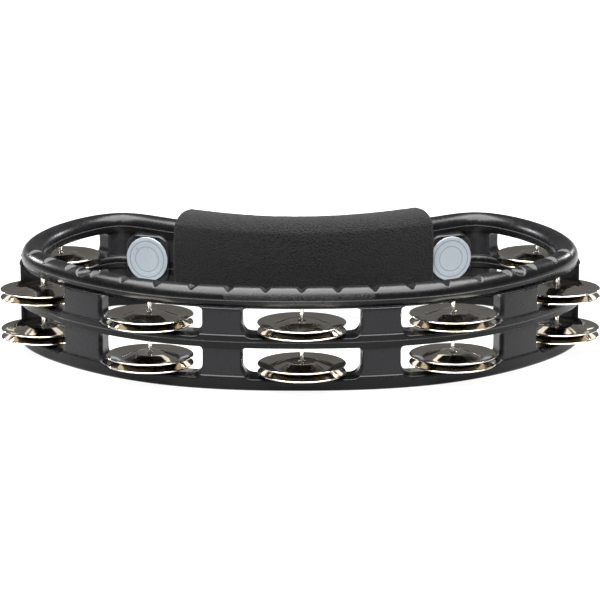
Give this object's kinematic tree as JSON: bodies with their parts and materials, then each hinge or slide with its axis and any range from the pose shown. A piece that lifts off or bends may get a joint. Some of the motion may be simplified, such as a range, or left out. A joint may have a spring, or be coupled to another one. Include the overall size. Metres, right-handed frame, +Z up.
{
  "type": "tambourine",
  "caption": "Crescent hand tambourine: black moulded frame with two tiers of slots holding loose metal jingles on upright pins, a foam-covered hand grip and a scraper-notched rim.",
  "frame": {"origin": "under the middle of the bounding box, on the plane that the base rests on", "axes": "+X to the player's right along the longest extent, the jingle arc faces -Y and the hand grip is at +Y, +Z up from the base to the notched rim"},
  "size_m": [0.2694, 0.1861, 0.0501],
  "materials": {
    "abs_black": "satin moulded black",
    "foam_black": "matt closed-cell foam",
    "nickel_plate": "bright nickel plated stamped steel",
    "pin_steel": "bright drawn steel",
    "label_film": "silvery film"
  },
  "bodies": {
    "frame": {"frame": "abs_black", "foam_grip": "foam_black", "label_left": "label_film", "label_right": "label_film", "pin_rear_left": "pin_steel", "pin_side_left": "pin_steel", "pin_front_left": "pin_steel", "pin_front_centre": "pin_steel", "pin_front_right": "pin_steel", "pin_side_right": "pin_steel", "pin_rear_right": "pin_steel"},
    "jingle_rear_left_lower_bottom": {"jingle_rear_left_lower_bottom": "nickel_plate"},
    "jingle_rear_left_lower_top": {"jingle_rear_left_lower_top": "nickel_plate"},
    "jingle_rear_left_upper_bottom": {"jingle_rear_left_upper_bottom": "nickel_plate"},
    "jingle_rear_left_upper_top": {"jingle_rear_left_upper_top": "nickel_plate"},
    "jingle_side_left_lower_bottom": {"jingle_side_left_lower_bottom": "nickel_plate"},
    "jingle_side_left_lower_top": {"jingle_side_left_lower_top": "nickel_plate"},
    "jingle_side_left_upper_bottom": {"jingle_side_left_upper_bottom": "nickel_plate"},
    "jingle_side_left_upper_top": {"jingle_side_left_upper_top": "nickel_plate"},
    "jingle_front_left_lower_bottom": {"jingle_front_left_lower_bottom": "nickel_plate"},
    "jingle_front_left_lower_top": {"jingle_front_left_lower_top": "nickel_plate"},
    "jingle_front_left_upper_bottom": {"jingle_front_left_upper_bottom": "nickel_plate"},
    "jingle_front_left_upper_top": {"jingle_front_left_upper_top": "nickel_plate"},
    "jingle_front_centre_lower_bottom": {"jingle_front_centre_lower_bottom": "nickel_plate"},
    "jingle_front_centre_lower_top": {"jingle_front_centre_lower_top": "nickel_plate"},
    "jingle_front_centre_upper_bottom": {"jingle_front_centre_upper_bottom": "nickel_plate"},
    "jingle_front_centre_upper_top": {"jingle_front_centre_upper_top": "nickel_plate"},
    "jingle_front_right_lower_bottom": {"jingle_front_right_lower_bottom": "nickel_plate"},
    "jingle_front_right_lower_top": {"jingle_front_right_lower_top": "nickel_plate"},
    "jingle_front_right_upper_bottom": {"jingle_front_right_upper_bottom": "nickel_plate"},
    "jingle_front_right_upper_top": {"jingle_front_right_upper_top": "nickel_plate"},
    "jingle_side_right_lower_bottom": {"jingle_side_right_lower_bottom": "nickel_plate"},
    "jingle_side_right_lower_top": {"jingle_side_right_lower_top": "nickel_plate"},
    "jingle_side_right_upper_bottom": {"jingle_side_right_upper_bottom": "nickel_plate"},
    "jingle_side_right_upper_top": {"jingle_side_right_upper_top": "nickel_plate"},
    "jingle_rear_right_lower_bottom": {"jingle_rear_right_lower_bottom": "nickel_plate"},
    "jingle_rear_right_lower_top": {"jingle_rear_right_lower_top": "nickel_plate"},
    "jingle_rear_right_upper_bottom": {"jingle_rear_right_upper_bottom": "nickel_plate"},
    "jingle_rear_right_upper_top": {"jingle_rear_right_upper_top": "nickel_plate"}
  },
  "joints": [
    {"name": "jingle_rear_left_lower_bottom_slide", "type": "slide", "parent": "frame", "child": "jingle_rear_left_lower_bottom", "axis": [0, 0, 1], "range_m": [0, 0.0026]},
    {"name": "jingle_rear_left_lower_top_slide", "type": "slide", "parent": "jingle_rear_left_lower_bottom", "child": "jingle_rear_left_lower_top", "axis": [0, 0, 1], "range_m": [0, 0.0028]},
    {"name": "jingle_rear_left_upper_bottom_slide", "type": "slide", "parent": "frame", "child": "jingle_rear_left_upper_bottom", "axis": [0, 0, 1], "range_m": [0, 0.0026]},
    {"name": "jingle_rear_left_upper_top_slide", "type": "slide", "parent": "jingle_rear_left_upper_bottom", "child": "jingle_rear_left_upper_top", "axis": [0, 0, 1], "range_m": [0, 0.0028]},
    {"name": "jingle_side_left_lower_bottom_slide", "type": "slide", "parent": "frame", "child": "jingle_side_left_lower_bottom", "axis": [0, 0, 1], "range_m": [0, 0.0026]},
    {"name": "jingle_side_left_lower_top_slide", "type": "slide", "parent": "jingle_side_left_lower_bottom", "child": "jingle_side_left_lower_top", "axis": [0, 0, 1], "range_m": [0, 0.0028]},
    {"name": "jingle_side_left_upper_bottom_slide", "type": "slide", "parent": "frame", "child": "jingle_side_left_upper_bottom", "axis": [0, 0, 1], "range_m": [0, 0.0026]},
    {"name": "jingle_side_left_upper_top_slide", "type": "slide", "parent": "jingle_side_left_upper_bottom", "child": "jingle_side_left_upper_top", "axis": [0, 0, 1], "range_m": [0, 0.0028]},
    {"name": "jingle_front_left_lower_bottom_slide", "type": "slide", "parent": "frame", "child": "jingle_front_left_lower_bottom", "axis": [0, 0, 1], "range_m": [0, 0.0026]},
    {"name": "jingle_front_left_lower_top_slide", "type": "slide", "parent": "jingle_front_left_lower_bottom", "child": "jingle_front_left_lower_top", "axis": [0, 0, 1], "range_m": [0, 0.0028]},
    {"name": "jingle_front_left_upper_bottom_slide", "type": "slide", "parent": "frame", "child": "jingle_front_left_upper_bottom", "axis": [0, 0, 1], "range_m": [0, 0.0026]},
    {"name": "jingle_front_left_upper_top_slide", "type": "slide", "parent": "jingle_front_left_upper_bottom", "child": "jingle_front_left_upper_top", "axis": [0, 0, 1], "range_m": [0, 0.0028]},
    {"name": "jingle_front_centre_lower_bottom_slide", "type": "slide", "parent": "frame", "child": "jingle_front_centre_lower_bottom", "axis": [0, 0, 1], "range_m": [0, 0.0026]},
    {"name": "jingle_front_centre_lower_top_slide", "type": "slide", "parent": "jingle_front_centre_lower_bottom", "child": "jingle_front_centre_lower_top", "axis": [0, 0, 1], "range_m": [0, 0.0028]},
    {"name": "jingle_front_centre_upper_bottom_slide", "type": "slide", "parent": "frame", "child": "jingle_front_centre_upper_bottom", "axis": [0, 0, 1], "range_m": [0, 0.0026]},
    {"name": "jingle_front_centre_upper_top_slide", "type": "slide", "parent": "jingle_front_centre_upper_bottom", "child": "jingle_front_centre_upper_top", "axis": [0, 0, 1], "range_m": [0, 0.0028]},
    {"name": "jingle_front_right_lower_bottom_slide", "type": "slide", "parent": "frame", "child": "jingle_front_right_lower_bottom", "axis": [0, 0, 1], "range_m": [0, 0.0026]},
    {"name": "jingle_front_right_lower_top_slide", "type": "slide", "parent": "jingle_front_right_lower_bottom", "child": "jingle_front_right_lower_top", "axis": [0, 0, 1], "range_m": [0, 0.0028]},
    {"name": "jingle_front_right_upper_bottom_slide", "type": "slide", "parent": "frame", "child": "jingle_front_right_upper_bottom", "axis": [0, 0, 1], "range_m": [0, 0.0026]},
    {"name": "jingle_front_right_upper_top_slide", "type": "slide", "parent": "jingle_front_right_upper_bottom", "child": "jingle_front_right_upper_top", "axis": [0, 0, 1], "range_m": [0, 0.0028]},
    {"name": "jingle_side_right_lower_bottom_slide", "type": "slide", "parent": "frame", "child": "jingle_side_right_lower_bottom", "axis": [0, 0, 1], "range_m": [0, 0.0026]},
    {"name": "jingle_side_right_lower_top_slide", "type": "slide", "parent": "jingle_side_right_lower_bottom", "child": "jingle_side_right_lower_top", "axis": [0, 0, 1], "range_m": [0, 0.0028]},
    {"name": "jingle_side_right_upper_bottom_slide", "type": "slide", "parent": "frame", "child": "jingle_side_right_upper_bottom", "axis": [0, 0, 1], "range_m": [0, 0.0026]},
    {"name": "jingle_side_right_upper_top_slide", "type": "slide", "parent": "jingle_side_right_upper_bottom", "child": "jingle_side_right_upper_top", "axis": [0, 0, 1], "range_m": [0, 0.0028]},
    {"name": "jingle_rear_right_lower_bottom_slide", "type": "slide", "parent": "frame", "child": "jingle_rear_right_lower_bottom", "axis": [0, 0, 1], "range_m": [0, 0.0026]},
    {"name": "jingle_rear_right_lower_top_slide", "type": "slide", "parent": "jingle_rear_right_lower_bottom", "child": "jingle_rear_right_lower_top", "axis": [0, 0, 1], "range_m": [0, 0.0028]},
    {"name": "jingle_rear_right_upper_bottom_slide", "type": "slide", "parent": "frame", "child": "jingle_rear_right_upper_bottom", "axis": [0, 0, 1], "range_m": [0, 0.0026]},
    {"name": "jingle_rear_right_upper_top_slide", "type": "slide", "parent": "jingle_rear_right_upper_bottom", "child": "jingle_rear_right_upper_top", "axis": [0, 0, 1], "range_m": [0, 0.0028]}
  ]
}
